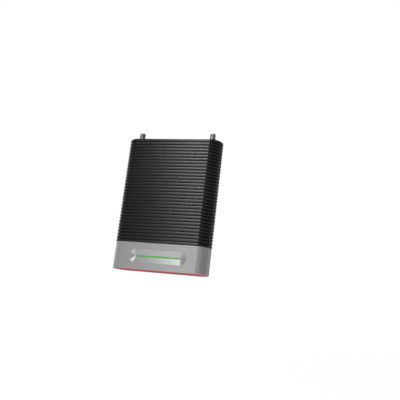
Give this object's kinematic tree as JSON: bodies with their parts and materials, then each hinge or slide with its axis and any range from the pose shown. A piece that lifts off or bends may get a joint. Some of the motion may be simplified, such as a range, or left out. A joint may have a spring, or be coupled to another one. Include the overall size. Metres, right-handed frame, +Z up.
{
  "type": "cellular signal booster",
  "caption": "Upright cellular signal booster: ribbed black casing with rounded sides, silver lower end with a V-shaped recess and green light line, red underside, threaded antenna ports on top.",
  "frame": {"origin": "middle of the underside, on the plane it stands on", "axes": "+Z up along the long side, -Y out of the front, +X to the right seen from the front"},
  "size_m": [0.1924, 0.045, 0.2746],
  "materials": {
    "casing_black": "satin powder coat",
    "bezel_silver": "fine brushed satin",
    "cover_red": "satin moulded",
    "light_green": "translucent, lit",
    "plastic_white": "moulded",
    "plastic_black": "moulded",
    "switch_black": "semi-gloss moulded",
    "rubber_black": "matte",
    "circuit_board": "solder mask",
    "cable_film": "polyester film",
    "tinned_steel": "tin plated",
    "ceramic": "fired ceramic",
    "pad_grey": "soft silicone",
    "capacitor_aluminium": "drawn can",
    "port_nickel": "nickel plated",
    "contact_gold": "gold plated",
    "lead_red": "PVC",
    "screw_steel": "zinc plated",
    "screw_black": "black oxide",
    "label_grey": "printed film, blank"
  },
  "bodies": {
    "booster": {"front_housing": "casing_black", "rear_housing": "casing_black", "back_plate": "casing_black", "top_cap": "casing_black", "cap_gasket": "rubber_black", "seam_seals": "rubber_black", "end_bezel": "bezel_silver", "bottom_cover": "cover_red", "light_bar": "light_green", "light_diffuser": "plastic_white", "light_reflector": "plastic_white", "light_board": "circuit_board", "status_leds": "plastic_white", "light_cable_sockets": "plastic_black", "light_cable": "cable_film", "main_board": "circuit_board", "uplink_shield": "tinned_steel", "downlink_shield": "tinned_steel", "band_filters": "ceramic", "rf_amplifiers": "plastic_black", "thermal_pads": "pad_grey", "supply_inductors": "plastic_black", "supply_capacitors": "capacitor_aluminium", "control_chip": "plastic_black", "outside_antenna_port": "port_nickel", "inside_antenna_port": "port_nickel", "port_insulators": "plastic_white", "port_contacts": "contact_gold", "port_washers": "port_nickel", "port_nuts": "port_nickel", "power_jack": "plastic_black", "power_jack_pin": "contact_gold", "power_jack_terminals": "contact_gold", "switch_housing": "plastic_black", "switch_terminals": "contact_gold", "switch_leads": "lead_red", "housing_screws": "screw_steel", "cap_screws": "screw_black", "back_plate_screws": "screw_black", "bezel_screws": "screw_steel", "board_screws": "screw_steel", "light_board_screws": "screw_steel", "cover_screw": "screw_black", "rating_label": "label_grey"},
    "light_switch": {"switch_rocker": "switch_black"}
  },
  "joints": [
    {"name": "light_switch_rock", "type": "hinge", "parent": "booster", "child": "light_switch", "pos_m": [0.018, 0, 0.2569], "axis": [0, 1, 0], "range_deg": [0, 24]}
  ]
}
